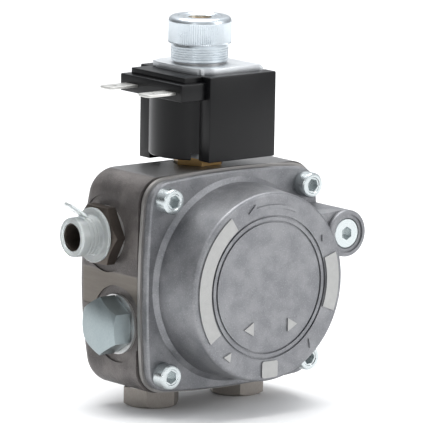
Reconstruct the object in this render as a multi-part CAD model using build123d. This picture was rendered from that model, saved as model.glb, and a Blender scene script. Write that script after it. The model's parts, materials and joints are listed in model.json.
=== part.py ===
from build123d import *
import os
from math import atan2, cos, pi, radians, sin, tan

# Light-oil burner pump with a solenoid shut-off valve on top.
# Origin: centre of the mounting hub, on the rear mounting face.
# +Y runs out of the hub along the drive shaft, the cover faces -Y, +Z is up.
# All sizes are millimetres.

# ---- driving dimensions -------------------------------------------------
# cast body
BODY_FRONT = -35.0
BODY_HALF_WIDTH = 36.8
BODY_HALF_HEIGHT = 36.3
BODY_CORNER = 9.0
BACK_BULGE = -1.8
BACK_CURVE = 110.0
PAD_RADIUS = 27.0
PAD_INNER = 24.6
PAD_OUTER = 29.6
GROOVE_DEPTH = 0.6
WEB_SETBACK = 2.2
HUB_RADIUS = 16.0
HUB_LENGTH = 8.0
REAR_SCREW_CIRCLE = 21.5
REAR_SCREW_HOLE = 2.1
REAR_SCREW_DEPTH = 12.0

# plates between body and cover
GASKET_THICKNESS = 0.6
PLATE_FRONT = -37.0
PLATE_MARGIN = 0.8
PLATE_OPENING = 27.5

# cover
FLANGE_FRONT = -40.0
FLANGE_HALF = 36.3
FLANGE_CORNER_HALF = 34.4
FLANGE_CORNER = 8.0
DOME_BASE_RADIUS = 32.9
DOME_RIM_RADIUS = 31.6
RIM_FRONT = -58.5
CHAMBER_RADIUS = 27.5
CHAMBER_FRONT = -54.9
DISC_RADIUS = 22.0
RING_RADIUS = 23.8
GROOVE_WIDTH = 0.7
RAISED = 0.5

# cover screws, M5 socket cap
SCREW_X = 29.5
SCREW_Z = 29.3
SCREW_RADIUS = 2.5
SCREW_HEAD_RADIUS = 4.25
SCREW_HEAD_HEIGHT = 5.0
SCREW_END = -24.0

# ear with the pressure regulator
EAR_X = 34.0
EAR_Z = 14.5
EAR_RADIUS = 7.9
EAR_FRONT = -58.0
EAR_BORE = 5.2
EAR_BORE_BACK = -39.6
ADJUSTER_FRONT = -57.4
ADJUSTER_BACK = -53.0
SEAL_GROOVE = (-54.7, -53.6)
SEAT_BACK = -52.0
PISTON_FRONT = -43.0
PISTON_BACK = -40.0
PILOT_LENGTH = 1.2

# pump gears: inner gear with lobes that roll in a ring gear with one lobe more
INNER_LOBES = 6
RING_LOBES = INNER_LOBES + 1
ECCENTRICITY = 1.2
LOBE_CIRCLE = 11.5
LOBE_RADIUS = 3.0
LOBE_CLEARANCE = 0.1
RING_OUTER = 15.5
RING_ROOT = 11.3
GEAR_BACK = -26.7
GEAR_GAP = 0.1
GEAR_PLATE_FRONT = -40.0
GEAR_PLATE_RADIUS = 23.5
GEAR_SCREW_CIRCLE = 18.8

# shaft
SHAFT_RADIUS = 4.0
SHAFT_FRONT = -38.5
SHAFT_END = 30.0
SHAFT_FLAT_START = 9.5
SHAFT_GROOVE = (9.0, 10.0)
RUNNING = 0.05

# solenoid valve, on a vertical axis at x = 0
STEM_Y = -20.0
STEM_HEX_FLATS = 14.7
COIL_BOTTOM = 39.5
COIL_TOP = 68.0
COIL_RADIUS = 16.5
COIL_BORE = 5.8
WALL_INNER = 13.0
WALL_OUTER = 18.7
WALL_LEFT = -10.2
WALL_RIGHT = 17.8
YOKE_TOP = 70.0
YOKE_LEFT = -10.8
YOKE_CORNER = 7.0
YOKE_BEND = 3.4
FOOT_RIGHT = -5.6
FOOT_BOTTOM = 36.7
YOKE_RIGHT = 17.5
YOKE_THICKNESS = 2.0
YOKE_HALF_WIDTH = 14.5
BLOCK_LEFT = -20.4
LEDGE_LEFT = -17.6
BLOCK_BOTTOM = 60.2
BLOCK_TOP = 66.0
BLADE_WIDTH = 6.3
BLADE_THICKNESS = 0.8
BLADE_TIP = -32.0
BLADE_SPACING = 20.4
BLADE_Z = 62.8
TUBE_RADIUS = 5.5
PLUNGER_RADIUS = 3.9
SPIGOT_RADIUS = 3.8
SPIGOT_TOP = 84.6

# knurled nut
NUT_BOTTOM = 70.8
NUT_TOP = 85.8
NUT_BODY_RADIUS = 9.6
NUT_HEAD_RADIUS = 10.5
NUT_HEAD_BOTTOM = 75.9
NUT_BORE = 3.9
KNURL_RIDGES = 64
KNURL_DEPTH = 0.35

# left face: outlet fitting and gauge plug
FACE_X = -36.3
OUTLET_Y = -18.0
OUTLET_Z = 15.6
OUTLET_THREAD = 6.0
OUTLET_HEX = 19.0
HEX_START = -37.3
HEX_END = -41.5
NIPPLE_END = -50.4
CAP_BASE = -41.6
CAP_END = -51.3
CAP_RADIUS = 6.65
CAP_MOUTH = 4.7
TAB_ROOT = -45.5
TAB_LEAN = 34.0
TUBE_SOCKET = 3.05
CONE_MOUTH = 4.35
CONE_END = -44.5
GAUGE_Y = -24.5
GAUGE_Z = -13.8
GAUGE_THREAD = 4.85
GAUGE_HEX = 17.0
SPOT_RADIUS = 12.9

# underside plugs
PLUG_X = 18.25
PLUG_Y = -20.0
PLUG_THREAD = 6.5
PLUG_HEX = 17.0
PLUG_BOTTOM = -43.7
PLUG_THREAD_TOP = -26.0
WASHER_THICKNESS = 1.0

LEFT = (-1, 0, 0)
UP = (0, 0, 1)
BACK = (0, 1, 0)
FLAT_BOTTOM = (Align.CENTER, Align.CENTER, Align.MIN)


# ---- helpers ------------------------------------------------------------
def rod(radius, start, end):
    """Round bar from one point to another."""
    axis = Vector(*end) - Vector(*start)
    return Plane(origin=start, z_dir=axis) * Cylinder(radius, axis.length, align=FLAT_BOTTOM)


def taper(start_radius, end_radius, start, end):
    """Cone frustum from one point to another."""
    axis = Vector(*end) - Vector(*start)
    return Plane(origin=start, z_dir=axis) * Cone(
        start_radius, end_radius, axis.length, align=FLAT_BOTTOM
    )


def tube(outer, inner, start, end):
    """Round bar with a hole right through."""
    return rod(outer, start, end) - rod(inner, start, end)


def prism(sketch, start, end, corner_direction):
    """Sketch pushed from one point to another; its x axis lies along corner_direction."""
    axis = Vector(*end) - Vector(*start)
    plane = Plane(origin=start, x_dir=corner_direction, z_dir=axis)
    return extrude(plane * sketch, amount=axis.length)


def hex_bar(across_flats, start, end, corner_direction):
    """Hexagon bar with one pair of corners along corner_direction."""
    hexagon = RegularPolygon(across_flats / 2, 6, major_radius=False)
    return prism(hexagon, start, end, corner_direction)


def hex_head(across_flats, start, end, corner_direction):
    """Hexagon head whose corners are turned down to a cone at its outer end."""
    corner_radius = across_flats / 2 / cos(radians(30))
    axis = Vector(*end) - Vector(*start)
    slope = tan(radians(30))
    rounding = taper(
        across_flats / 2 * 0.97 + axis.length / slope,
        across_flats / 2 * 0.97,
        start,
        end,
    )
    bar = hex_bar(across_flats, start, end, corner_direction)
    return bar & rounding & rod(corner_radius, start, end)


def front_sketch(sketch, y_from, y_to):
    """Sketch seen from the front (x right, y up) pushed from y_from forward to y_to."""
    return extrude(Plane.XZ.offset(-y_from) * sketch, amount=y_from - y_to)


def box_between(low, high):
    """Box from its lowest to its highest corner."""
    size = [high[i] - low[i] for i in range(3)]
    middle = [(high[i] + low[i]) / 2 for i in range(3)]
    return Pos(*middle) * Box(*size)


def on_circle(radius, degrees):
    """Point on a circle about the shaft axis, seen from the front."""
    return (radius * cos(radians(degrees)), radius * sin(radians(degrees)))


def corners():
    """The four cover screw positions."""
    return [(sx * SCREW_X, sz * SCREW_Z) for sx in (-1, 1) for sz in (-1, 1)]


def spring(mean_radius, wire_radius, start, end, turns):
    """Compression spring with its ends ground flat."""
    axis = Vector(*end) - Vector(*start)
    length = axis.length
    pitch = length / turns
    coil = Helix(pitch, length, mean_radius)
    section = Plane(origin=coil @ 0, z_dir=coil % 0) * Circle(wire_radius)
    wire = sweep(section, path=coil, is_frenet=True)
    slab = Cylinder(mean_radius + 2 * wire_radius, length, align=FLAT_BOTTOM)
    return Plane(origin=start, z_dir=axis) * (wire & slab)


def save(shape, name):
    """Write one named piece."""
    shape.label = name
    export_step(shape, f"parts/{name}.step")


# ---- cast body ----------------------------------------------------------
def pump_body():
    outline = RectangleRounded(2 * BODY_HALF_WIDTH, 2 * BODY_HALF_HEIGHT, BODY_CORNER)
    body = front_sketch(outline, 0, BODY_FRONT)
    curve_y = BACK_BULGE - BACK_CURVE
    body &= rod(BACK_CURVE, (-BODY_HALF_WIDTH - 1, curve_y, 0), (BODY_HALF_WIDTH + 1, curve_y, 0))
    body = fillet(body.edges().filter_by_position(Axis.Y, -12.0, 0), radius=5.0)
    body += rod(PAD_RADIUS, (0, -6, 0), (0, 0, 0))
    body += rod(HUB_RADIUS, (0, -1, 0), (0, HUB_LENGTH, 0))
    # gear chamber, shaft bearing bore and seal bore
    body -= rod(RING_OUTER + RUNNING, (0, BODY_FRONT - 1, -ECCENTRICITY), (0, GEAR_BACK, -ECCENTRICITY))
    body -= rod(6.5, (0, GEAR_BACK - 1, 0), (0, -4, 0))
    body -= rod(9.0, (0, -4.5, 0), (0, HUB_LENGTH + 1, 0))
    body -= rod(9.6, (0, 4.0, 0), (0, 5.1, 0))
    # cover screw holes, gear plate screw holes and rear mounting holes
    for x, z in corners():
        body -= rod(SCREW_RADIUS, (x, BODY_FRONT - 1, z), (x, SCREW_END + 2, z))
    for degrees in (90, 210, 330):
        x, z = on_circle(GEAR_SCREW_CIRCLE, degrees)
        body -= rod(1.5, (x, BODY_FRONT - 1, z), (x, BODY_FRONT + 6.0, z))
    for degrees in (30, 150, 270):
        x, z = on_circle(REAR_SCREW_CIRCLE, degrees)
        body -= rod(REAR_SCREW_HOLE, (x, 1, z), (x, -REAR_SCREW_DEPTH, z))
    # stem bore with its seal recess, and the valve chamber below
    body -= rod(7.0, (0, STEM_Y, BODY_HALF_HEIGHT + 1), (0, STEM_Y, 25.0))
    body -= rod(4.2, (0, STEM_Y, 26.0), (0, STEM_Y, 13.0))
    body -= rod(8.2, (0, STEM_Y, BODY_HALF_HEIGHT + 1), (0, STEM_Y, BODY_HALF_HEIGHT - 1.6))
    # left face: spot faces and ports
    for y, z, radius, depth in (
        (OUTLET_Y, OUTLET_Z, OUTLET_THREAD, 11.0),
        (GAUGE_Y, GAUGE_Z, GAUGE_THREAD, 9.0),
    ):
        body -= rod(SPOT_RADIUS, (-BODY_HALF_WIDTH - 1, y, z), (FACE_X, y, z))
        body -= rod(radius, (FACE_X - 1, y, z), (FACE_X + depth, y, z))
    body -= rod(1.7, (FACE_X + 5, OUTLET_Y, OUTLET_Z), (-1.0, OUTLET_Y, OUTLET_Z))
    # underside ports, each with a passage to the strainer chamber
    for side in (-1, 1):
        x = side * PLUG_X
        body -= rod(PLUG_THREAD, (x, PLUG_Y, -BODY_HALF_HEIGHT - 1), (x, PLUG_Y, PLUG_THREAD_TOP))
        body -= rod(2.4, (x, PLUG_Y, PLUG_THREAD_TOP - 1), (x, PLUG_Y, PLUG_THREAD_TOP + 5))
        passage_z = PLUG_THREAD_TOP + 3.5
        start_x = side * (PLUG_X - 4.5)
        body -= rod(2.0, (start_x, BODY_FRONT - 1, passage_z), (x, PLUG_Y, passage_z))
    return body


# ---- plates and cover ---------------------------------------------------
def square_outline(margin):
    """Flange outline: four slightly bowed sides with rounded corners."""
    c = FLANGE_CORNER_HALF + margin
    m = FLANGE_HALF + margin
    sides = [
        ThreePointArc((c, -c), (m, 0), (c, c)),
        ThreePointArc((c, c), (0, m), (-c, c)),
        ThreePointArc((-c, c), (-m, 0), (-c, -c)),
        ThreePointArc((-c, -c), (0, -m), (c, -c)),
    ]
    face = make_face(sides)
    return fillet(face.vertices(), radius=FLANGE_CORNER + margin)


def plate(margin, y_from, y_to):
    """Flat plate with the flange outline, an open middle and four screw holes."""
    shape = front_sketch(square_outline(margin), y_from, y_to)
    shape -= rod(PLATE_OPENING, (0, y_from + 1, 0), (0, y_to - 1, 0))
    for x, z in corners():
        shape -= rod(SCREW_RADIUS + 0.1, (x, y_from + 1, z), (x, y_to - 1, z))
    return shape


def band_pad(inner, outer, start_degrees, end_degrees):
    """Raised pad on the cover's face, part of a ring between two angles."""
    sweep = end_degrees - start_degrees
    outer_arc = CenterArc((0, 0), outer, start_degrees, sweep)
    inner_arc = CenterArc((0, 0), inner, start_degrees, sweep)
    first_end = Line(inner_arc @ 0, outer_arc @ 0)
    last_end = Line(outer_arc @ 1, inner_arc @ 1)
    return make_face([outer_arc, last_end, inner_arc, first_end])


def arrow_mark():
    """Raised curved arrow that shows the turning direction."""
    shaft_arc = CenterArc((0, 0), 27.0, 66, 38)
    mark = Sketch() + SlotArc(shaft_arc, 1.1)
    tip = on_circle(27.0, 110)
    head = [tip, on_circle(28.9, 103), on_circle(25.1, 103)]
    return mark + make_face(Polyline(*head, close=True))


def triangle_mark(centre, size, degrees):
    """Small raised triangle that points along degrees."""
    return Pos(*centre) * Rot(0, 0, degrees) * RegularPolygon(size, 3)


def face_marks():
    """All the raised marks on the cover's face."""
    marks = Sketch() + band_pad(PAD_INNER, PAD_OUTER, 124, 214)
    marks += band_pad(PAD_INNER, PAD_OUTER, -21, 18)
    marks += Pos(*on_circle(27.6, -88.5)) * RectangleRounded(6.6, 5.6, 0.8)
    marks += arrow_mark()
    marks += triangle_mark(on_circle(27.6, 232), 1.9, 52)
    marks += triangle_mark(on_circle(27.6, -48), 1.9, 132)
    marks += triangle_mark(on_circle(27.0, 32), 1.3, 122)
    marks += triangle_mark((-7.8, -13.4), 2.6, 180)
    marks += triangle_mark((9.4, -13.4), 2.6, 0)
    return marks


def front_cover():
    cover = front_sketch(square_outline(0), PLATE_FRONT, FLANGE_FRONT)
    cover = chamfer(cover.edges().group_by(Axis.Y)[0], length=0.5)
    dome = taper(DOME_BASE_RADIUS, DOME_RIM_RADIUS, (0, FLANGE_FRONT + 1, 0), (0, RIM_FRONT, 0))
    dome = fillet(dome.edges().group_by(Axis.Y)[0], radius=1.3)
    foot = taper(
        DOME_BASE_RADIUS + 1.4, DOME_BASE_RADIUS - 0.1, (0, FLANGE_FRONT, 0), (0, FLANGE_FRONT - 1.4, 0)
    )
    ear = rod(EAR_RADIUS, (EAR_X, PLATE_FRONT, EAR_Z), (EAR_X, EAR_FRONT, EAR_Z))
    ear = fillet(ear.edges().group_by(Axis.Y)[0], radius=0.8)
    web_turn = radians(24)
    web = Plane.XZ * Polygon(
        (25.0, EAR_Z - EAR_RADIUS * cos(web_turn)),
        (EAR_X, EAR_Z - EAR_RADIUS),
        (EAR_X, EAR_Z + EAR_RADIUS),
        (22.0, EAR_Z + EAR_RADIUS * cos(web_turn)),
        align=None,
    )
    web = Pos(0, PLATE_FRONT, 0) * extrude(web, amount=PLATE_FRONT - RIM_FRONT - WEB_SETBACK)
    cover += dome
    cover += foot
    cover += ear
    cover += web
    # grooves round the centre disc, and the raised marks
    for radius in (DISC_RADIUS, RING_RADIUS):
        outer = radius + GROOVE_WIDTH / 2
        inner = radius - GROOVE_WIDTH / 2
        groove = tube(outer, inner, (0, RIM_FRONT - 1, 0), (0, RIM_FRONT + GROOVE_DEPTH, 0))
        cover -= groove
    cover += front_sketch(face_marks(), RIM_FRONT + 0.5, RIM_FRONT - RAISED)
    # strainer chamber, screw holes and the regulator bore
    cover -= rod(CHAMBER_RADIUS, (0, PLATE_FRONT + 1, 0), (0, CHAMBER_FRONT, 0))
    for x, z in corners():
        cover -= rod(SCREW_RADIUS + 0.1, (x, PLATE_FRONT + 1, z), (x, FLANGE_FRONT - 1, z))
    cover -= rod(EAR_BORE, (EAR_X, EAR_FRONT - 1, EAR_Z), (EAR_X, EAR_BORE_BACK, EAR_Z))
    cover -= rod(EAR_BORE + 1.2, (EAR_X, EAR_FRONT - 1, EAR_Z), (EAR_X, EAR_FRONT + 0.6, EAR_Z))
    return cover


def cap_screw(head_bottom, end):
    """M5 socket cap screw pointing along +Y, its axis through x = z = 0."""
    head_top = head_bottom - SCREW_HEAD_HEIGHT
    head = rod(SCREW_HEAD_RADIUS, (0, head_bottom, 0), (0, head_top, 0))
    head = fillet(head.edges().group_by(Axis.Y)[0], radius=0.5)
    head -= hex_bar(4.0, (0, head_top - 1, 0), (0, head_top + 2.6, 0), UP)
    shank = rod(SCREW_RADIUS, (0, head_bottom, 0), (0, end, 0))
    return head + chamfer(shank.edges().group_by(Axis.Y)[-1], length=0.6)


def cover_screws():
    screw = cap_screw(FLANGE_FRONT, SCREW_END)
    turns = (12, 47, 31, 5)
    return [
        Pos(x, 0, z) * Rot(0, turn, 0) * screw
        for (x, z), turn in zip(corners(), turns)
    ]


# ---- strainer -----------------------------------------------------------
def strainer_frame():
    """Plastic basket: two rings, a front disc and eight posts."""
    front = CHAMBER_FRONT
    back = GEAR_PLATE_FRONT
    frame = tube(25.0, 21.5, (0, back, 0), (0, back - 1.8, 0))
    frame += tube(25.0, 8.0, (0, front, 0), (0, front + 1.6, 0))
    for step in range(8):
        x, z = on_circle(22.6, 22.5 + 45 * step)
        frame += rod(1.0, (x, back, z), (x, front, z))
    return frame


def strainer_mesh():
    """Sleeve of fine brass mesh around the posts."""
    front = CHAMBER_FRONT + 1.6
    back = GEAR_PLATE_FRONT - 1.8
    return tube(24.6, 23.8, (0, back, 0), (0, front, 0))


# ---- pump gears ---------------------------------------------------------
def inner_gear_point(t):
    """Point of the inner gear that rolls on the ring gear's round lobes."""
    reach = LOBE_CIRCLE / (ECCENTRICITY * RING_LOBES)
    phase = (1 - RING_LOBES) * t
    lean = atan2(sin(phase), reach - cos(phase))
    x = LOBE_CIRCLE * cos(t) - LOBE_RADIUS * cos(t + lean) - ECCENTRICITY * cos(RING_LOBES * t)
    y = -LOBE_CIRCLE * sin(t) + LOBE_RADIUS * sin(t + lean) + ECCENTRICITY * sin(RING_LOBES * t)
    return (x, y)


def inner_gear():
    steps = 120
    points = [inner_gear_point(2 * pi * i / steps) for i in range(steps)]
    outline = Rot(0, 0, 90) * make_face(Spline(*points, periodic=True))
    gear = front_sketch(outline, GEAR_BACK - GEAR_GAP, BODY_FRONT + GEAR_GAP)
    gear -= rod(SHAFT_RADIUS, (0, GEAR_BACK + 1, 0), (0, BODY_FRONT - 1, 0))
    return gear - gear_key()


def ring_gear():
    centre = Pos(0, -ECCENTRICITY)
    outline = centre * Circle(RING_OUTER) - centre * Circle(RING_ROOT)
    lobe_space = centre * Circle(RING_ROOT + 0.3)
    for i in range(RING_LOBES):
        x, z = on_circle(LOBE_CIRCLE, 90 + 360 * i / RING_LOBES)
        lobe = Pos(x, z - ECCENTRICITY) * Circle(LOBE_RADIUS - LOBE_CLEARANCE)
        outline += lobe & lobe_space
    return front_sketch(outline, GEAR_BACK - GEAR_GAP, BODY_FRONT + GEAR_GAP)


def gear_key():
    """Square key that turns the inner gear with the shaft."""
    return box_between((-1, BODY_FRONT + 1.5, 2.6), (1, GEAR_BACK - 1.5, 5.0))


def drive_shaft():
    shaft = rod(SHAFT_RADIUS, (0, SHAFT_FRONT, 0), (0, SHAFT_END, 0))
    shaft = chamfer(shaft.edges().group_by(Axis.Y)[-1], length=0.6)
    groove_start, groove_end = SHAFT_GROOVE
    shaft -= tube(SHAFT_RADIUS + 1, SHAFT_RADIUS - 0.25, (0, groove_start, 0), (0, groove_end, 0))
    shaft -= box_between((-5, SHAFT_FLAT_START, 3.2), (5, SHAFT_END + 1, 5))
    return shaft - gear_key()


def gear_plate():
    shape = rod(GEAR_PLATE_RADIUS, (0, BODY_FRONT, 0), (0, GEAR_PLATE_FRONT, 0))
    shape -= rod(SHAFT_RADIUS + RUNNING, (0, BODY_FRONT + 1, 0), (0, SHAFT_FRONT - 0.3, 0))
    for degrees in (90, 210, 330):
        x, z = on_circle(GEAR_SCREW_CIRCLE, degrees)
        shape -= rod(1.6, (x, BODY_FRONT + 1, z), (x, GEAR_PLATE_FRONT - 1, z))
    # kidney ports that feed and empty the gears, and their paths to the strainer
    for side in (-1, 1):
        start = 90 + side * 28
        kidney = SlotArc(CenterArc((0, 0), 9.2, start, side * 110), 2.4)
        shape -= front_sketch(kidney, BODY_FRONT + 1, BODY_FRONT - 1.6)
    shape -= rod(1.6, (9.2, BODY_FRONT, 0), (9.2, GEAR_PLATE_FRONT - 1, 0))
    return shape


def gear_plate_screws():
    screws = []
    for degrees in (90, 210, 330):
        x, z = on_circle(GEAR_SCREW_CIRCLE, degrees)
        shank = rod(1.5, (x, GEAR_PLATE_FRONT, z), (x, BODY_FRONT + 5.4, z))
        head_front = GEAR_PLATE_FRONT - 2.0
        head = rod(2.5, (x, GEAR_PLATE_FRONT, z), (x, head_front, z))
        head -= hex_bar(2.0, (x, head_front - 1, z), (x, head_front + 1.2, z), UP)
        screws.append(shank + head)
    return screws


def shaft_bush():
    return tube(6.5, SHAFT_RADIUS + RUNNING, (0, GEAR_BACK, 0), (0, -5.0, 0))


def shaft_seal():
    """Radial lip seal in the hub, with a hollow back."""
    seal = tube(9.0, SHAFT_RADIUS + RUNNING, (0, -4.0, 0), (0, 3.8, 0))
    return seal - tube(7.6, 5.2, (0, 0.0, 0), (0, 4.0, 0))


def retaining_ring():
    """Internal circlip that holds the seal, open at the bottom."""
    ring = tube(9.6, 7.7, (0, 4.0, 0), (0, 5.1, 0))
    return ring - box_between((-2.2, 3, -10), (2.2, 6, -5))


# ---- pressure regulator -------------------------------------------------
def ear_point(y):
    """Point on the regulator axis."""
    return (EAR_X, y, EAR_Z)


def adjuster_screw():
    screw = rod(EAR_BORE - RUNNING, ear_point(ADJUSTER_FRONT), ear_point(ADJUSTER_BACK))
    screw -= tube(EAR_BORE + 1, EAR_BORE - 0.7, *map(ear_point, SEAL_GROOVE))
    screw = chamfer(screw.edges().group_by(Axis.Y)[0], length=0.4)
    return screw - hex_bar(4.0, ear_point(ADJUSTER_FRONT - 1), ear_point(-55.0), UP)


def adjuster_seal():
    return tube(EAR_BORE - RUNNING, EAR_BORE - 0.7, *map(ear_point, SEAL_GROOVE))


def spring_seat():
    seat = rod(4.7, ear_point(ADJUSTER_BACK), ear_point(SEAT_BACK))
    return seat + rod(2.4, ear_point(SEAT_BACK), ear_point(SEAT_BACK + PILOT_LENGTH))


def regulator_piston():
    piston = rod(EAR_BORE - RUNNING, ear_point(PISTON_FRONT), ear_point(PISTON_BACK))
    piston += rod(2.4, ear_point(PISTON_FRONT), ear_point(PISTON_FRONT - PILOT_LENGTH))
    return piston - rod(1.0, ear_point(PISTON_BACK + 1), ear_point(PISTON_FRONT + 1))


def regulator_spring():
    return spring(3.6, 0.45, ear_point(SEAT_BACK), ear_point(PISTON_FRONT), 4.5)


# ---- solenoid valve -----------------------------------------------------
def stem_point(z):
    """Point on the solenoid axis."""
    return (0, STEM_Y, z)


def valve_stem():
    stem = hex_bar(STEM_HEX_FLATS, stem_point(BODY_HALF_HEIGHT), stem_point(COIL_BOTTOM), (1, 0, 0))
    stem += rod(7.0, stem_point(26.0), stem_point(BODY_HALF_HEIGHT))
    stem += rod(TUBE_RADIUS, stem_point(COIL_BOTTOM), stem_point(YOKE_TOP))
    stem += rod(SPIGOT_RADIUS, stem_point(YOKE_TOP), stem_point(SPIGOT_TOP))
    stem -= rod(PLUNGER_RADIUS + RUNNING, stem_point(28.0), stem_point(62.0))
    stem -= rod(3.0, stem_point(25.0), stem_point(29.0))
    return stem


def valve_seat():
    seat = rod(3.0, stem_point(26.0), stem_point(28.0))
    seat += taper(2.2, 1.4, stem_point(28.0), stem_point(28.9))
    return seat - rod(0.7, stem_point(25.0), stem_point(30.0))


def plunger_pad():
    """Rubber sealing disc in the plunger's nose."""
    return rod(2.4, stem_point(28.9), stem_point(30.4))


def plunger():
    body = rod(PLUNGER_RADIUS, stem_point(28.9), stem_point(54.0))
    body -= plunger_pad()
    body -= rod(2.4, stem_point(52.0), stem_point(55.0))
    for side in (-1, 1):
        body -= box_between(
            (-0.5, STEM_Y + side * 3.6 - 0.5, 28), (0.5, STEM_Y + side * 3.6 + 0.5, 55)
        )
    return body


def plunger_spring():
    return spring(1.8, 0.3, stem_point(52.0), stem_point(62.0), 7.5)


def stem_seal():
    return tube(8.2, 7.0, stem_point(BODY_HALF_HEIGHT - 1.6), stem_point(BODY_HALF_HEIGHT))


def coil_housing():
    shape = rod(COIL_RADIUS, stem_point(COIL_BOTTOM), stem_point(COIL_TOP))
    shape -= box_between((YOKE_RIGHT - YOKE_THICKNESS - 0.2, STEM_Y - 20, 30), (30, STEM_Y + 20, 80))
    for side in (-1, 1):
        near = STEM_Y + side * WALL_INNER
        far = STEM_Y + side * WALL_OUTER
        wall = box_between(
            (WALL_LEFT, min(near, far), COIL_BOTTOM), (WALL_RIGHT, max(near, far), COIL_TOP)
        )
        shape += fillet(wall.edges().filter_by(Axis.Z), radius=0.7)
    block = box_between(
        (BLOCK_LEFT, STEM_Y - 16.4, BLOCK_BOTTOM), (WALL_LEFT + 4, STEM_Y + 16.4, BLOCK_TOP)
    )
    shape += fillet(block.edges().group_by(Axis.X)[0], radius=0.5)
    shape += box_between(
        (LEDGE_LEFT, STEM_Y - 14.2, BLOCK_BOTTOM + 1), (WALL_LEFT + 4, STEM_Y + 14.2, COIL_TOP)
    )
    shape += box_between(
        (WALL_LEFT, STEM_Y + WALL_INNER, FOOT_BOTTOM), (FOOT_RIGHT, STEM_Y + WALL_OUTER, COIL_BOTTOM + 1)
    )
    # room for the stem, the winding, the yoke's lower plate and the blades' roots
    shape -= rod(COIL_BORE, stem_point(COIL_BOTTOM - 1), stem_point(COIL_TOP + 1))
    shape -= tube(13.5, 7.6, stem_point(43.5), stem_point(64.5))
    recess_top = COIL_BOTTOM + YOKE_THICKNESS + 0.4
    recess_low = (-12, STEM_Y - WALL_INNER, COIL_BOTTOM - 1)
    shape -= box_between(recess_low, (20, STEM_Y + WALL_INNER, recess_top))
    shape -= coil_yoke()
    for blade in terminal_blades():
        shape -= blade
    return shape


def coil_winding():
    return tube(13.5, 7.6, stem_point(43.5), stem_point(64.5))


def coil_yoke():
    """Steel strap round the coil: upper plate, right leg and lower plate."""
    bottom = COIL_BOTTOM + 0.4
    height = YOKE_TOP - bottom
    length = 2 * (YOKE_RIGHT - YOKE_BEND)
    outer = RectangleRounded(length, height, YOKE_BEND)
    inner = RectangleRounded(
        length - 2 * YOKE_THICKNESS, height - 2 * YOKE_THICKNESS, YOKE_BEND - YOKE_THICKNESS
    )
    strap = Pos(YOKE_RIGHT - length / 2, bottom + height / 2) * (outer - inner)
    half = WALL_INNER - 0.2
    bent = front_sketch(strap, STEM_Y + half, STEM_Y - half)
    bent -= box_between((-30, -60, 30), (YOKE_LEFT + YOKE_CORNER, 20, 80))
    top = box_between(
        (YOKE_LEFT, STEM_Y - YOKE_HALF_WIDTH, YOKE_TOP - YOKE_THICKNESS),
        (YOKE_RIGHT - YOKE_BEND, STEM_Y + YOKE_HALF_WIDTH, YOKE_TOP),
    )
    top = fillet(top.edges().filter_by(Axis.Z).group_by(Axis.X)[0], radius=YOKE_CORNER)
    bottom_plate = box_between(
        (-9.5, STEM_Y - half, bottom), (YOKE_LEFT + YOKE_CORNER, STEM_Y + half, bottom + YOKE_THICKNESS)
    )
    return bent + top + bottom_plate - rod(COIL_BORE, stem_point(30), stem_point(80))


def terminal_blades():
    blades = []
    for side in (-1, 1):
        y = STEM_Y + side * BLADE_SPACING / 2
        outline = Polygon(
            (-14.2, -BLADE_WIDTH / 2),
            (-14.2, BLADE_WIDTH / 2),
            (BLADE_TIP + 2.2, BLADE_WIDTH / 2),
            (BLADE_TIP, BLADE_WIDTH / 2 - 1.4),
            (BLADE_TIP, -BLADE_WIDTH / 2 + 1.4),
            (BLADE_TIP + 2.2, -BLADE_WIDTH / 2),
            align=None,
        )
        blade = extrude(outline - Pos(BLADE_TIP + 4.2, 0) * Circle(0.85), amount=BLADE_THICKNESS)
        blades.append(Pos(0, y, BLADE_Z - BLADE_THICKNESS / 2) * blade)
    return blades


def nut_washer():
    return tube(8.6, TUBE_RADIUS - 1.5, stem_point(YOKE_TOP), stem_point(NUT_BOTTOM))


def knurled_nut():
    nut = rod(NUT_BODY_RADIUS, stem_point(NUT_BOTTOM), stem_point(NUT_HEAD_BOTTOM))
    for z in (72.0, 73.3, 74.6):
        nut -= tube(NUT_BODY_RADIUS + 1, NUT_BODY_RADIUS - 0.25, stem_point(z), stem_point(z + 0.35))
    head = rod(NUT_HEAD_RADIUS, stem_point(NUT_HEAD_BOTTOM), stem_point(NUT_TOP))
    head = chamfer(head.edges().group_by(Axis.Z)[0], length=1.2)
    head = fillet(head.edges().group_by(Axis.Z)[-1], radius=1.7)
    ridge = 360 / KNURL_RIDGES
    star = []
    for i in range(KNURL_RIDGES):
        star.append(on_circle(NUT_HEAD_RADIUS, i * ridge))
        star.append(on_circle(NUT_HEAD_RADIUS - KNURL_DEPTH, (i + 0.5) * ridge))
    knurl_bottom = NUT_HEAD_BOTTOM + 1.2
    knurl_top = NUT_TOP - 1.7
    outside = Polyline(*star, close=True)
    knurl = Pos(0, STEM_Y, knurl_bottom) * extrude(make_face(outside), amount=knurl_top - knurl_bottom)
    band = rod(NUT_HEAD_RADIUS + 1, stem_point(knurl_bottom), stem_point(knurl_top))
    nut += (head - band) + knurl
    nut -= rod(NUT_BORE, stem_point(NUT_BOTTOM - 1), stem_point(NUT_TOP + 1))
    return nut


# ---- left face fittings -------------------------------------------------
def outlet_point(x):
    """Point on the outlet axis."""
    return (x, OUTLET_Y, OUTLET_Z)


def outlet_fitting():
    fitting = rod(OUTLET_THREAD, outlet_point(-27.0), outlet_point(HEX_START))
    fitting += hex_head(OUTLET_HEX, outlet_point(HEX_START), outlet_point(HEX_END), BACK)
    nipple = rod(OUTLET_THREAD, outlet_point(HEX_END), outlet_point(NIPPLE_END))
    fitting += chamfer(nipple.edges().group_by(Axis.X)[0], length=0.7)
    fitting -= rod(2.0, outlet_point(-26.0), outlet_point(-52.0))
    fitting -= rod(TUBE_SOCKET, outlet_point(-38.5), outlet_point(-52.0))
    fitting -= taper(CONE_MOUTH, TUBE_SOCKET, outlet_point(NIPPLE_END), outlet_point(CONE_END))
    return fitting


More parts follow.
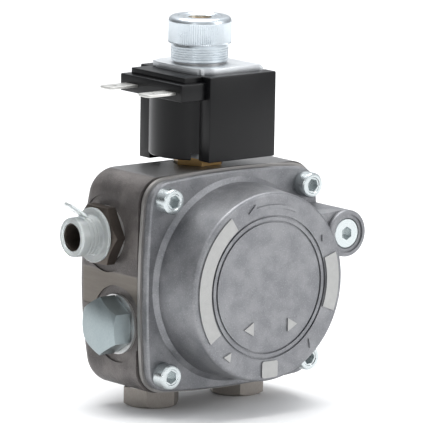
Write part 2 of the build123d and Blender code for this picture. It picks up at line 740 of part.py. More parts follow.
def outlet_washer():
    return tube(9.4, OUTLET_THREAD, outlet_point(FACE_X), outlet_point(HEX_START))


def outlet_cap():
    """Soft protective sleeve: base flange, open end with a small lip, and a leaf-shaped pull tab."""
    cap = rod(CAP_RADIUS, outlet_point(CAP_BASE), outlet_point(CAP_END))
    cap += rod(9.15, outlet_point(CAP_BASE), outlet_point(CAP_BASE - 1.2))
    leaf = Polygon((0, -2.2), (6.5, -2.9), (10.2, -1.4), (10.2, 1.4), (6.5, 2.9), (0, 2.2), align=None)
    lean = radians(TAB_LEAN)
    root = (TAB_ROOT, OUTLET_Y, OUTLET_Z + CAP_RADIUS - 0.9)
    tab_plane = Plane(origin=root, x_dir=(-cos(lean), 0, sin(lean)), z_dir=(sin(lean), 0, cos(lean)))
    cap += extrude(tab_plane * leaf, amount=0.8)
    cap -= rod(OUTLET_THREAD + RUNNING, outlet_point(CAP_BASE + 1), outlet_point(NIPPLE_END - 0.1))
    return cap - rod(CAP_MOUTH, outlet_point(-40.0), outlet_point(-52.0))


def gauge_point(x):
    """Point on the gauge port's axis."""
    return (x, GAUGE_Y, GAUGE_Z)


def gauge_plug():
    start = FACE_X - WASHER_THICKNESS
    plug = rod(GAUGE_THREAD, gauge_point(-28.5), gauge_point(start))
    plug += rod(8.3, gauge_point(start), gauge_point(start - 0.6))
    return plug + hex_head(GAUGE_HEX, gauge_point(start - 0.6), gauge_point(-44.8), UP)


def gauge_washer():
    return tube(10.0, GAUGE_THREAD, gauge_point(FACE_X), gauge_point(FACE_X - WASHER_THICKNESS))


# ---- underside plugs ----------------------------------------------------
def port_plug(side):
    """Hexagon plug of one underside port; side is -1 left, 1 right."""
    x = side * PLUG_X
    turn = radians(43 if side < 0 else 59)
    start = -BODY_HALF_HEIGHT - WASHER_THICKNESS
    plug = rod(PLUG_THREAD, (x, PLUG_Y, PLUG_THREAD_TOP - 1), (x, PLUG_Y, start))
    return plug + hex_head(
        PLUG_HEX, (x, PLUG_Y, start), (x, PLUG_Y, PLUG_BOTTOM), (cos(turn), sin(turn), 0)
    )


def port_washer(side):
    x = side * PLUG_X
    top = -BODY_HALF_HEIGHT
    return tube(8.6, PLUG_THREAD, (x, PLUG_Y, top), (x, PLUG_Y, top - WASHER_THICKNESS))


# ---- write every piece --------------------------------------------------
SINGLE_PIECES = {
    "pump_body": pump_body,
    "front_cover": front_cover,
    "strainer_frame": strainer_frame,
    "strainer_mesh": strainer_mesh,
    "inner_gear": inner_gear,
    "ring_gear": ring_gear,
    "gear_key": gear_key,
    "drive_shaft": drive_shaft,
    "gear_plate": gear_plate,
    "shaft_bush": shaft_bush,
    "shaft_seal": shaft_seal,
    "retaining_ring": retaining_ring,
    "adjuster_screw": adjuster_screw,
    "adjuster_seal": adjuster_seal,
    "spring_seat": spring_seat,
    "regulator_piston": regulator_piston,
    "regulator_spring": regulator_spring,
    "valve_stem": valve_stem,
    "valve_seat": valve_seat,
    "plunger_pad": plunger_pad,
    "plunger": plunger,
    "plunger_spring": plunger_spring,
    "stem_seal": stem_seal,
    "coil_housing": coil_housing,
    "coil_winding": coil_winding,
    "coil_yoke": coil_yoke,
    "nut_washer": nut_washer,
    "knurled_nut": knurled_nut,
    "outlet_fitting": outlet_fitting,
    "outlet_washer": outlet_washer,
    "outlet_cap": outlet_cap,
    "gauge_plug": gauge_plug,
    "gauge_washer": gauge_washer,
}
GROUPS = {
    "cover_screws": cover_screws,
    "gear_plate_screws": gear_plate_screws,
    "terminal_blades": terminal_blades,
}

os.makedirs("parts", exist_ok=True)
for name, make in SINGLE_PIECES.items():
    save(make(), name)
for name, make in GROUPS.items():
    save(Compound(children=make()), name)
save(plate(0, BODY_FRONT, BODY_FRONT - GASKET_THICKNESS), "gasket")
save(plate(PLATE_MARGIN, BODY_FRONT - GASKET_THICKNESS, PLATE_FRONT), "spacer_plate")
for side, port in ((-1, "suction"), (1, "return")):
    save(port_plug(side), f"{port}_plug")
    save(port_washer(side), f"{port}_washer")
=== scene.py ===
import json
import math
from math import cos, pi, radians, sin, tan

import bpy
from mathutils import Matrix, Vector


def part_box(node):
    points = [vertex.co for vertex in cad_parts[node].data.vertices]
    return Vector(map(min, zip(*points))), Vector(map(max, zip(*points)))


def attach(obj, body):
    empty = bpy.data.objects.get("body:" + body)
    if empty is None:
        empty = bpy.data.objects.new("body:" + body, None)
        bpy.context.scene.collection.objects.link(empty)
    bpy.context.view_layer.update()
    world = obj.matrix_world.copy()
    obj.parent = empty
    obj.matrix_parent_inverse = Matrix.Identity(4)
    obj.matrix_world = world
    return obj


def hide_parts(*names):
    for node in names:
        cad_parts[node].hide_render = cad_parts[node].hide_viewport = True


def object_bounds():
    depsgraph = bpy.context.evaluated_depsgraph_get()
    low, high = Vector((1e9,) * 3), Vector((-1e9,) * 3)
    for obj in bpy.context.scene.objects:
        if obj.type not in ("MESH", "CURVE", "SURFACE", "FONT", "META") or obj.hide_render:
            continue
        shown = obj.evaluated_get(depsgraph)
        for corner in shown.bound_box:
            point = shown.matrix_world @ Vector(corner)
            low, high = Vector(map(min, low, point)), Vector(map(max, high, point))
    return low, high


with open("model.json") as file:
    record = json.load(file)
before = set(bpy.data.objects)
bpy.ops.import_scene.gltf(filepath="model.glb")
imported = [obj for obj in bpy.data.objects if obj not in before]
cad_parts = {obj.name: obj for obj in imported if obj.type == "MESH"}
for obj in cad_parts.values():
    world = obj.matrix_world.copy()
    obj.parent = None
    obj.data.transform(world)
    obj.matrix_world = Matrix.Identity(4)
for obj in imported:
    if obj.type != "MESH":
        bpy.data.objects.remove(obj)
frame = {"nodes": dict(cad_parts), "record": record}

# Oil burner pump with its solenoid valve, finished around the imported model.
# Pieces are shaped in millimetres and placed in metres, in the model's own frame.

cad_low, cad_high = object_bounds()
MM = 0.001
LEFT = (-1, 0, 0)
FRONT = (0, -1, 0)
BACK = (0, 1, 0)
UP = (0, 0, 1)
DOWN = (0, 0, -1)
RIGHT = (1, 0, 0)
SMOOTH_ANGLE = radians(32)

# Places and sizes that more than one piece uses, or that seat a piece on the body, in millimetres.
STEM_Y = -20.0
STEM_HOLE = [(5.8, 30), (5.8, 80)]
BLADE_OFFSET = 10.2
PLUG_FLATS = 17.0
FITTING_FLATS = 19.0
SOCKET_FLATS = 4.0
FLANGE_FACE_Y = -40.0
EAR_FACE_Y = -53.0
GAUGE_SEAT_X = -37.9
OUTLET_SEAT_X = -37.3
CAP_SEAT_X = -41.6
PORT_SEAT_Z = -37.3


# ---- where things are ---------------------------------------------------
def extent(node):
    """Lowest and highest corner of a node, in millimetres."""
    low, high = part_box(node)
    return Vector(low) / MM, Vector(high) / MM


def centre(node):
    """Middle of a node's box, in millimetres."""
    low, high = extent(node)
    return (low + high) / 2


# ---- modelling by hand --------------------------------------------------
def deselect_all():
    bpy.ops.object.select_all(action="DESELECT")


def pick(piece):
    """Make one piece the only selected and active one."""
    deselect_all()
    piece.select_set(True)
    bpy.context.view_layer.objects.active = piece


def place(piece, base, along=UP, across=RIGHT):
    """Put a piece shaped about its own z axis at base, z along and x across, and settle it in metres."""
    z = Vector(along).normalized()
    x = Vector(across).normalized()
    turn = Matrix((x, z.cross(x), z)).transposed().to_4x4()
    piece.matrix_world = Matrix.Scale(MM, 4) @ Matrix.Translation(base) @ turn
    pick(piece)
    bpy.ops.object.transform_apply(location=True, rotation=True, scale=True)
    return piece


def apply(piece, kind, **settings):
    """Add one modifier and apply it."""
    pick(piece)
    modifier = piece.modifiers.new(kind.title(), kind)
    for name, value in settings.items():
        setattr(modifier, name, value)
    bpy.ops.object.modifier_apply(modifier=modifier.name)
    return piece


def round_edges(piece, width, segments=3, angle=30):
    """Break every edge sharper than angle with a small radius."""
    return apply(
        piece, "BEVEL", width=width, segments=segments, limit_method="ANGLE",
        angle_limit=radians(angle), miter_outer="MITER_ARC", use_clamp_overlap=True,
    )


def cut(piece, tool, operation="DIFFERENCE"):
    """Cut the piece with a tool shape, which is used up."""
    apply(piece, "BOOLEAN", object=tool, operation=operation, solver="EXACT")
    bpy.data.objects.remove(tool)
    return piece


def finish_mesh(piece, angle=SMOOTH_ANGLE, hollow=False):
    """Merge a placed piece's doubles, face it outwards and shade it. A closed hollow keeps its own."""
    pick(piece)
    bpy.ops.object.mode_set(mode="EDIT")
    bpy.ops.mesh.select_all(action="SELECT")
    bpy.ops.mesh.remove_doubles(threshold=0.001 * MM)
    if not hollow:
        bpy.ops.mesh.normals_make_consistent(inside=False)
    bpy.ops.object.mode_set(mode="OBJECT")
    bpy.ops.object.shade_smooth_by_angle(angle=angle)
    return piece


def turned(name, profile, sides=96, ring=False):
    """Turn a profile of (radius, height) pairs about z. A ring's profile comes back to its start."""
    deselect_all()
    radius, height = profile[0]
    bpy.ops.mesh.primitive_circle_add(vertices=sides, radius=radius, location=(0, 0, 0))
    piece = bpy.context.object
    piece.name = name
    piece.data.name = name
    piece.location.z = height
    bpy.ops.object.transform_apply(location=True)
    bpy.ops.object.mode_set(mode="EDIT")
    bpy.ops.mesh.select_all(action="SELECT")
    loop = profile[1:] + profile[:1] if ring else profile[1:]
    for next_radius, next_height in loop:
        bpy.ops.mesh.extrude_region_move(TRANSFORM_OT_translate={"value": (0, 0, next_height - height)})
        grow = next_radius / radius
        bpy.ops.transform.resize(value=(grow, grow, 1))
        radius, height = next_radius, next_height
    bpy.ops.mesh.select_all(action="SELECT")
    bpy.ops.mesh.remove_doubles(threshold=0.0005)
    if not ring:
        bpy.ops.mesh.fill_holes(sides=0)
    bpy.ops.mesh.normals_make_consistent(inside=False)
    bpy.ops.object.mode_set(mode="OBJECT")
    return piece


def prism(name, sides, across_flats, bottom, top):
    """Straight bar with flat sides, its first corner along x."""
    deselect_all()
    bpy.ops.mesh.primitive_cylinder_add(
        vertices=sides, radius=across_flats / 2 / cos(pi / sides), depth=top - bottom,
        location=(0, 0, (top + bottom) / 2), rotation=(0, 0, pi / 2 if sides == 6 else 0),
    )
    piece = bpy.context.object
    piece.name = name
    piece.data.name = name
    bpy.ops.object.transform_apply(location=True, rotation=True)
    return piece


def block(name, low, high):
    """Rectangular block between two corners, in millimetres."""
    deselect_all()
    low, high = Vector(low), Vector(high)
    bpy.ops.mesh.primitive_cube_add(size=1, location=(low + high) / 2)
    piece = bpy.context.object
    piece.name = name
    piece.data.name = name
    piece.scale = high - low
    bpy.ops.object.transform_apply(location=True, rotation=True, scale=True)
    return piece


def hand_over(piece, node):
    """Give a finished piece the finish, the body and the slot of the node it stands for."""
    piece.data.materials.clear()
    piece.data.materials.append(FINISH[slot_of[node]])
    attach(piece, body_of[node])
    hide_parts(node)
    return piece


# ---- shader maths -------------------------------------------------------
class Value:
    """A shader socket that adds, subtracts, multiplies and compares like a number."""

    def __init__(self, finish, socket):
        self.finish = finish
        self.socket = socket

    def math(self, operation, *operands):
        return self.finish.node("ShaderNodeMath", {"operation": operation}, list(operands))

    def __add__(self, other):
        return self.math("ADD", self, other)

    def __radd__(self, other):
        return self.math("ADD", other, self)

    def __sub__(self, other):
        return self.math("SUBTRACT", self, other)

    def __rsub__(self, other):
        return self.math("SUBTRACT", other, self)

    def __mul__(self, other):
        return self.math("MULTIPLY", self, other)

    def __rmul__(self, other):
        return self.math("MULTIPLY", other, self)

    def __truediv__(self, other):
        return self.math("DIVIDE", self, other)

    def __gt__(self, other):
        return self.math("GREATER_THAN", self, other)

    def __lt__(self, other):
        return self.math("LESS_THAN", self, other)

    def __abs__(self):
        return self.math("ABSOLUTE", self)

    def rise(self, low, high):
        """0 below low, 1 above high, with a soft step between; high may be the lower one."""
        return self.finish.node(
            "ShaderNodeMapRange", {"interpolation_type": "SMOOTHSTEP"}, [self, low, high, 0.0, 1.0]
        )

    def between(self, low, high, soft=0.3):
        """1 between low and high, and 0 outside."""
        return self.rise(low - soft, low + soft) * self.rise(high + soft, high - soft)


class Finish:
    """A material in the making: its nodes, its Principled shader and the point on the piece in mm."""

    def __init__(self, name, **constants):
        self.material = bpy.data.materials.new(name)
        self.material.use_nodes = True
        self.tree = self.material.node_tree
        self.shader = self.tree.nodes["Principled BSDF"]
        for socket, value in constants.items():
            self.shader.inputs[socket.replace("_", " ")].default_value = value
        place_on_piece = self.node("ShaderNodeTexCoord", {}, [], "Object")
        self.point = self.node(
            "ShaderNodeVectorMath", {"operation": "SCALE"}, {"Vector": place_on_piece, "Scale": 1 / MM}
        )

    def node(self, kind, settings, inputs, output=0):
        """Any node: its settings first, then the values or links of its sockets."""
        made = self.tree.nodes.new(kind)
        for name, value in settings.items():
            setattr(made, name, value)
        pairs = inputs.items() if isinstance(inputs, dict) else enumerate(inputs)
        for key, value in pairs:
            if isinstance(value, Value):
                self.tree.links.new(value.socket, made.inputs[key])
            else:
                made.inputs[key].default_value = value
        return Value(self, made.outputs[output])

    def axes(self):
        """The point's x, y and z."""
        return [self.node("ShaderNodeSeparateXYZ", {}, [self.point], i) for i in range(3)]

    def moved(self, base, scale=(1, 1, 1), turn=(0, 0, 0)):
        """The point measured from base, then turned and stretched."""
        offset = self.node("ShaderNodeVectorMath", {"operation": "SUBTRACT"}, [self.point, tuple(base)])
        return self.node(
            "ShaderNodeMapping", {"vector_type": "POINT"},
            {"Vector": offset, "Rotation": turn, "Scale": scale},
        )

    def noise(self, size, detail=3.0, rough=0.55, point=None):
        """Noise from 0 to 1 whose lumps are about size millimetres."""
        return self.node(
            "ShaderNodeTexNoise", {},
            {"Vector": point or self.point, "Scale": 1 / size, "Detail": detail, "Roughness": rough},
        )

    def mix(self, mask, first, second):
        """Colour that goes from first to second as mask rises."""
        def full(colour):
            return colour if isinstance(colour, Value) else (*colour, 1.0)
        made = self.tree.nodes.new("ShaderNodeMix")
        made.data_type = "RGBA"
        for index, value in ((0, mask), (6, full(first)), (7, full(second))):
            if isinstance(value, Value):
                self.tree.links.new(value.socket, made.inputs[index])
            else:
                made.inputs[index].default_value = value
        return Value(self, made.outputs[2])

    def bump(self, height, distance, strength=1.0, normal=None):
        """Normal bent by a height; distance is the height's size in millimetres."""
        inputs = {"Height": height, "Distance": distance * MM, "Strength": strength}
        if normal:
            inputs["Normal"] = normal
        return self.node("ShaderNodeBump", {}, inputs)

    def drive(self, socket, value):
        """Feed a varying value to one of the shader's sockets."""
        self.tree.links.new(value.socket, self.shader.inputs[socket])
        return self


# ---- finishes -----------------------------------------------------------
def cast_iron_skin():
    """Oiled sand casting, brownish dark grey, with a smoother milled strip on the left face."""
    f = Finish("cast_iron_skin", Metallic=0.55, Specular_IOR_Level=0.5)
    x, y, z = f.axes()
    low, high = extent("pump_body")
    sand = f.noise(0.55, 4.0, 0.7)
    lumps = f.noise(3.5, 3.0)
    blotches = f.noise(11.0, 4.0)
    brown = f.mix(blotches.rise(0.35, 0.7), (0.085, 0.077, 0.074), (0.165, 0.15, 0.143))
    grains = f.mix(sand.rise(0.54, 0.78) * 0.4, brown, (0.34, 0.32, 0.305))
    pits = f.noise(0.8, 4.0, 0.8)
    grains = f.mix(pits.rise(0.56, 0.74) * 0.55, grains, (0.03, 0.027, 0.026))
    left_face = x < low.x + 0.3
    milled = left_face * z.between(-9.0, 3.2, 0.5) * (y < -6.0)
    tool_marks = f.noise(1.2, 3.0, 0.6, f.moved((0, 0, 0), (1, 0.12, 1)))
    milled_colour = f.mix(tool_marks, (0.12, 0.105, 0.09), (0.18, 0.162, 0.14))
    top_face = z > high.z - 0.25
    top_colour = f.mix(lumps, (0.14, 0.137, 0.138), (0.23, 0.228, 0.228))
    colour = f.mix(milled, grains, milled_colour)
    colour = f.mix(top_face, colour, top_colour)
    f.drive("Base Color", colour)
    f.drive("Roughness", 0.31 + 0.20 * sand - 0.02 * milled - 0.06 * top_face)
    rough = 1.0 - 0.8 * milled - 0.55 * top_face
    height = (0.6 * sand + 0.5 * lumps) * rough
    f.drive("Normal", f.bump(height, 0.35, 0.9))
    return f.material


def die_cast_skin():
    """Light grey die casting: fine grain and bright machined pads on the face."""
    f = Finish("die_cast_skin", Specular_IOR_Level=0.5)
    x, y, z = f.axes()
    low, high = extent("front_cover")
    grain = f.noise(0.5, 4.0, 0.75)
    cloud = f.noise(6.0, 4.0)
    flow = f.noise(2.2, 3.0, 0.6, f.moved((0, 0, 0), (1, 0.25, 1)))
    pits = f.noise(0.9, 4.0, 0.75)
    skin = f.mix(cloud.rise(0.3, 0.7), (0.195, 0.198, 0.21), (0.265, 0.268, 0.278))
    skin = f.mix(grain.rise(0.5, 0.8) * 0.8, skin, (0.47, 0.475, 0.485))
    skin = f.mix(pits.rise(0.58, 0.74) * 0.6, skin, (0.09, 0.09, 0.098))
    away = f.node("ShaderNodeVectorMath", {"operation": "LENGTH"}, [f.moved((0, 0, 0), (1, 0, 1))], 1)
    side_arcs = away.between(24.2, 30.0, 0.1) * (x < -13.0)
    right_arc = away.between(24.2, 30.0, 0.1) * (x > 23.0) * (z < 9.5) * (z > -11.0)
    lower_pad = away.between(24.2, 31.2, 0.1) * (z < -24.0) * (abs(x) < 4.2)
    disc_marks = (away < 19.0) * (z < -9.0)
    raised = (y < low.y + 0.22) * 1.0
    pads = raised * (side_arcs + right_arc + lower_pad + disc_marks).rise(0.0, 0.5)
    pad_colour = f.mix(flow, (0.34, 0.34, 0.335), (0.43, 0.43, 0.42))
    f.drive("Base Color", f.mix(pads, skin, pad_colour))
    f.drive("Metallic", 0.86 - 0.3 * pads)
    f.drive("Roughness", 0.42 + 0.12 * grain - 0.06 * pads)
    f.drive("Normal", f.bump(grain * 0.7 + flow * 0.4 + pits * 0.5, 0.12, 0.8))
    return f.material


def plated(name, dark, light, roughness, metallic=0.95, streak=(1, 1, 1), base=(0, 0, 0), bump=0.02):
    """Electroplated steel with fine tool marks along the stretched direction."""
    f = Finish(name)
    marks = f.noise(0.5, 4.0, 0.6, f.moved(base, streak))
    stain = f.noise(4.0, 3.0)
    f.drive("Base Color", f.mix(marks * 0.6 + stain * 0.4, dark, light))
    f.drive("Metallic", metallic - 0.08 * stain)
    f.drive("Roughness", roughness + 0.12 * stain + 0.08 * marks)
    f.drive("Normal", f.bump(marks, bump, 0.7))
    return f.material


def coil_plastic():
    """Black thermoset with a satin skin, faint sink marks and dust."""
    f = Finish("coil_plastic", Specular_IOR_Level=0.26)
    grain = f.noise(0.25, 2.0)
    sink = f.noise(9.0, 2.0)
    dust = f.noise(0.8, 5.0, 0.75)
    f.drive("Base Color", f.mix(dust.rise(0.62, 0.8) * 0.35, (0.003, 0.003, 0.0035), (0.018, 0.018, 0.019)))
    f.drive("Roughness", 0.24 + 0.08 * grain + 0.08 * sink)
    f.drive("Normal", f.bump(grain * 0.25 + sink, 0.03, 0.5))
    return f.material


def clear_sleeve_plastic():
    """Translucent, slightly green soft plastic."""
    f = Finish(
        "clear_sleeve_plastic", Transmission_Weight=0.72, IOR=1.42, Subsurface_Weight=0.15,
        Subsurface_Radius=(0.004, 0.004, 0.0035),
    )
    cloud = f.noise(2.0, 3.0)
    f.drive("Base Color", f.mix(cloud, (0.74, 0.79, 0.79), (0.90, 0.93, 0.92)))
    f.drive("Roughness", 0.16 + 0.14 * cloud)
    f.drive("Normal", f.bump(cloud, 0.05, 0.4))
    return f.material


def plain_finish(name, dark, light, roughness, metallic=0.0, size=1.5, bump=0.02):
    """Two close shades in a soft pattern, for small and inner pieces."""
    f = Finish(name)
    pattern = f.noise(size, 3.0)
    f.drive("Base Color", f.mix(pattern, dark, light))
    f.drive("Metallic", metallic * (0.9 + 0.1 * pattern))
    f.drive("Roughness", roughness + 0.15 * pattern)
    f.drive("Normal", f.bump(pattern, bump, 0.5))
    return f.material


FINISH = {
    "cast_body": cast_iron_skin(),
    "die_cast_cover": die_cast_skin(),
    "coil_plastic": coil_plastic(),
    "clear_sleeve": clear_sleeve_plastic(),
    "gasket_fibre": plain_finish("gasket_fibre", (0.03, 0.03, 0.03), (0.06, 0.06, 0.055), 0.7),
    "plain_steel": plated("plain_steel", (0.22, 0.21, 0.20), (0.38, 0.37, 0.36), 0.38, 0.8, (1, 4, 1)),
    "zinc_screw": plated("zinc_screw", (0.40, 0.44, 0.45), (0.70, 0.74, 0.74), 0.14, 0.95, (1, 6, 1)),
    "ground_steel": plated("ground_steel", (0.45, 0.45, 0.46), (0.62, 0.62, 0.62), 0.25),
    "bush_bronze": plain_finish("bush_bronze", (0.35, 0.22, 0.10), (0.5, 0.33, 0.16), 0.4, 0.9),
    "black_rubber": plain_finish("black_rubber", (0.015, 0.015, 0.015), (0.03, 0.03, 0.03), 0.6),
    "spring_steel": plated("spring_steel", (0.30, 0.30, 0.31), (0.48, 0.48, 0.48), 0.3),
    "white_nylon": plain_finish("white_nylon", (0.6, 0.59, 0.54), (0.7, 0.69, 0.64), 0.45),
    "brass_mesh": plain_finish("brass_mesh", (0.35, 0.25, 0.10), (0.6, 0.45, 0.2), 0.4, 0.9, 0.3, 0.1),
    "brass_stem": plated("brass_stem", (0.34, 0.20, 0.07), (0.60, 0.40, 0.18), 0.24, 0.95, (1, 1, 5)),
    "copper_winding": plain_finish("copper_winding", (0.35, 0.12, 0.05), (0.5, 0.2, 0.09), 0.3, 0.9, 0.4),
    "zinc_sheet": plated("zinc_sheet", (0.54, 0.56, 0.58), (0.76, 0.78, 0.79), 0.34, 0.9, (0.3, 2, 1)),
    "tinned_blade": plated("tinned_blade", (0.5, 0.5, 0.48), (0.72, 0.71, 0.68), 0.26, 0.9, (0.3, 2, 1)),
    "zinc_nut": plated("zinc_nut", (0.46, 0.51, 0.55), (0.78, 0.83, 0.86), 0.2, 0.97, (0.5, 0.5, 6)),
    "dark_steel": plated("dark_steel", (0.05, 0.043, 0.038), (0.12, 0.10, 0.085), 0.32, 0.85),
    "washer_aluminium": plated("washer_aluminium", (0.5, 0.5, 0.5), (0.68, 0.68, 0.67), 0.35),
    "zinc_plug": plated("zinc_plug", (0.22, 0.265, 0.275), (0.38, 0.43, 0.44), 0.26, 0.95, (4, 1, 1)),
    "grey_plug": plated("grey_plug", (0.24, 0.215, 0.195), (0.46, 0.43, 0.395), 0.4, 0.85, (1, 1, 0.5)),
}

slot_of = {row["node"]: row["material_slot"] for row in frame["record"]["subparts"]}
body_of = {n: body for body, nodes in frame["record"]["behaviour"]["bodies"].items() for n in nodes}
for node, piece in frame["nodes"].items():
    piece.data.materials.clear()
    piece.data.materials.append(FINISH[slot_of[node]])


# ---- pieces -------------------------------------------------------------
def arc(centre_radius, centre_height, radius, start, end, steps=5):
    """Profile points on a quarter round, angles in degrees from the radial direction."""
    turns = [radians(start + (end - start) * i / steps) for i in range(steps + 1)]
    return [(centre_radius + radius * cos(t), centre_height + radius * sin(t)) for t in turns]


def knurl(piece, radius, low, high, depth, sides):
    """Press every second upright line of a turned band inwards."""
    pick(piece)
    bpy.ops.object.mode_set(mode="EDIT")
    bpy.ops.mesh.select_mode(type="VERT")
    bpy.ops.mesh.select_all(action="DESELECT")
    bpy.ops.object.mode_set(mode="OBJECT")
    for vertex in piece.data.vertices:
        x, y, z = vertex.co
        step = round(math.atan2(y, x) / (2 * pi / sides))
        on_band = abs(math.hypot(x, y) - radius) < 0.04 and low - 0.01 < z < high + 0.01
        vertex.select = on_band and step % 2 == 0
    bpy.ops.object.mode_set(mode="EDIT")
    shrink = (radius - depth) / radius
    bpy.ops.transform.resize(value=(shrink, shrink, 1))
    bpy.ops.object.mode_set(mode="OBJECT")
    return piece


def join(name, pieces):
    """Make one piece of several."""
    deselect_all()
    for piece in pieces:
        piece.select_set(True)
    bpy.context.view_layer.objects.active = pieces[0]
    bpy.ops.object.join()
    pieces[0].name = name
    pieces[0].data.name = name
    return pieces[0]


def hex_head(name, across_flats, length):
    """Hexagon head with a turned cone over its corners and softly broken edges."""
    head = prism(name, 6, across_flats, 0, length)
    tip = across_flats / 2 * 0.965
    slope = tan(radians(30))
    past = 0.3
    cone = turned("cone", [(tip + (length + past) / slope, -past), (tip - past / slope, length + past)], 128)
    cut(head, cone, "INTERSECT")
    return round_edges(head, 0.16, 2, 22)


def add_knurled_nut():
    """Coil nut: turned rings on the collar, straight knurl on the head and a dished top."""
    low, high = extent("knurled_nut")
    middle = centre("knurled_nut")
    sides = 168
    collar, head, bore = 9.6, 10.5, 3.9
    profile = [(bore, low.z), (9.2, low.z), (collar, low.z + 0.35)]
    for step in range(5):
        z = low.z + 1.1 + 0.8 * step
        profile += [(collar, z), (collar - 0.26, z + 0.14), (collar - 0.26, z + 0.32), (collar, z + 0.46)]
    profile += [(collar, 75.9), (9.9, 76.0), (10.38, 76.75), (head, 77.0), (head, 77.3)]
    profile += [(head, 83.6)]
    profile += arc(head - 1.7, high.z - 1.7, 1.7, 0, 90)
    profile += [(7.4, high.z), (7.15, high.z - 0.25), (5.2, high.z - 0.25), (4.9, high.z - 0.5)]
    profile += [(bore, high.z - 0.5)]
    nut = turned("knurled_nut_finished", profile, sides, ring=True)
    knurl(nut, head, 77.3, 83.6, 0.3, sides)
    place(nut, (middle.x, middle.y, 0))
    hand_over(finish_mesh(nut, radians(24)), "knurled_nut")


def add_cover_screws():
    """Four socket cap screws: broken rim, shallow cone round the socket, knurl on the side."""
    corner_x, corner_z = 29.5, 29.3
    screws = []
    for x, z, turn in ((-1, 1, 12), (1, 1, 47), (-1, -1, 31), (1, -1, 5)):
        profile = [(1.9, -16.0), (2.5, -15.4), (2.5, 0.0), (4.1, 0.0), (4.25, 0.2), (4.25, 0.6), (4.25, 4.0)]
        profile += [(4.16, 4.5), (3.85, 4.9), (3.3, 5.0), (2.75, 4.96), (2.55, 4.7)]
        screw = turned("cover_screw", profile, 72)
        knurl(screw, 4.25, 0.6, 4.0, 0.05, 72)
        socket = prism("socket", 6, SOCKET_FLATS, 2.3, 6.0)
        cut(screw, socket)
        across = (cos(radians(turn)), 0, sin(radians(turn)))
        screws.append(place(screw, (x * corner_x, FLANGE_FACE_Y, z * corner_z), FRONT, across))
    hand_over(finish_mesh(join("cover_screws_finished", screws), radians(26)), "cover_screws")


def add_gauge_plug():
    """Hexagon plug low on the left face, on a thin collar."""
    middle = centre("gauge_plug")
    head = hex_head("gauge_plug_finished", PLUG_FLATS, 6.9)
    cut(head, turned("collar", [(8.1, -0.6), (8.3, -0.5), (8.3, 0.3)], 96), "UNION")
    cut(head, turned("thread", [(4.4, -9.4), (4.85, -8.9), (4.85, -0.2)], 64), "UNION")
    place(head, (GAUGE_SEAT_X, middle.y, middle.z), LEFT, UP)
    hand_over(finish_mesh(head), "gauge_plug")


def add_port_plug(node, turn):
    """Hexagon plug of an underside port."""
    low, high = extent(node)
    middle = centre(node)
    head = hex_head(node + "_finished", PLUG_FLATS, PORT_SEAT_Z - low.z)
    end = PORT_SEAT_Z - high.z
    cut(head, turned("thread", [(6.1, end), (6.5, end + 0.5), (6.5, 0.5)], 72), "UNION")
    place(head, (middle.x, middle.y, PORT_SEAT_Z), DOWN, (cos(radians(turn)), sin(radians(turn)), 0))
    hand_over(finish_mesh(head), node)


def round_some(piece, width, segments, wanted):
    """Round the edges whose middle and direction pass a test."""
    pick(piece)
    bpy.ops.object.mode_set(mode="EDIT")
    bpy.ops.mesh.select_mode(type="EDGE")
    bpy.ops.mesh.select_all(action="DESELECT")
    bpy.ops.object.mode_set(mode="OBJECT")
    for edge in piece.data.edges:
        ends = [piece.data.vertices[i] for i in edge.vertices]
        edge.select = wanted((ends[0].co + ends[1].co) / 2, (ends[1].co - ends[0].co).normalized())
    bpy.ops.object.mode_set(mode="EDIT")
    bpy.ops.mesh.bevel(offset=width, segments=segments, affect="EDGES")
    bpy.ops.object.mode_set(mode="OBJECT")
    return piece


def add_coil_housing():
    """Moulded coil: drum, two side walls, the blade block with its ledge, and the foot behind."""
    # No two parts may share a plane where they meet, so the drum stops 0.06 short of the walls' foot.
    drum_profile = [(16.1, 39.56), (16.5, 39.96), (16.5, 67.6), (16.1, 67.98)]
    housing = turned("coil_housing_finished", drum_profile, 144)
    cut(housing, block("room", (15.3, -20, 30), (30, 20, 80)))
    parts = []
    for side in (-1, 1):
        near, far = sorted((side * 13.0, side * 18.7))
        parts.append(round_edges(block("wall", (-10.2, near, 39.5), (17.8, far, 68.0)), 0.45, 3))
    parts.append(round_edges(block("blade_block", (-20.4, -16.4, 60.2), (-6.2, 16.4, 66.0)), 0.4, 3))
    parts.append(round_edges(block("ledge", (-17.6, -14.2, 61.2), (-6.1, 14.2, 67.96)), 0.35, 3))
    parts.append(round_edges(block("foot", (-10.15, 13.05, 36.7), (-5.6, 18.65, 41.5)), 0.35, 3))
    for part in parts:
        cut(housing, part, "UNION")
    cut(housing, turned("bore", STEM_HOLE, 96))
    cut(housing, block("recess", (-12, -13.02, 30), (20, 13.02, 41.9)))
    winding_room = [(7.6, 43.5), (13.5, 43.5), (13.5, 64.5), (7.6, 64.5)]
    cut(housing, turned("winding_room", winding_room, 96, ring=True))
    blades_low, blades_high = extent("terminal_blades")
    half, play = 3.16, 0.01
    for side in (-1, 1):
        y = side * BLADE_OFFSET
        slot_low = (-40, y - half, blades_low.z - play)
        slot_high = (blades_high.x + play, y + half, blades_high.z + play)
        cut(housing, block("slot", slot_low, slot_high))
    place(housing, (0, STEM_Y, 0))
    hand_over(finish_mesh(housing, radians(28), hollow=True), "coil_housing")


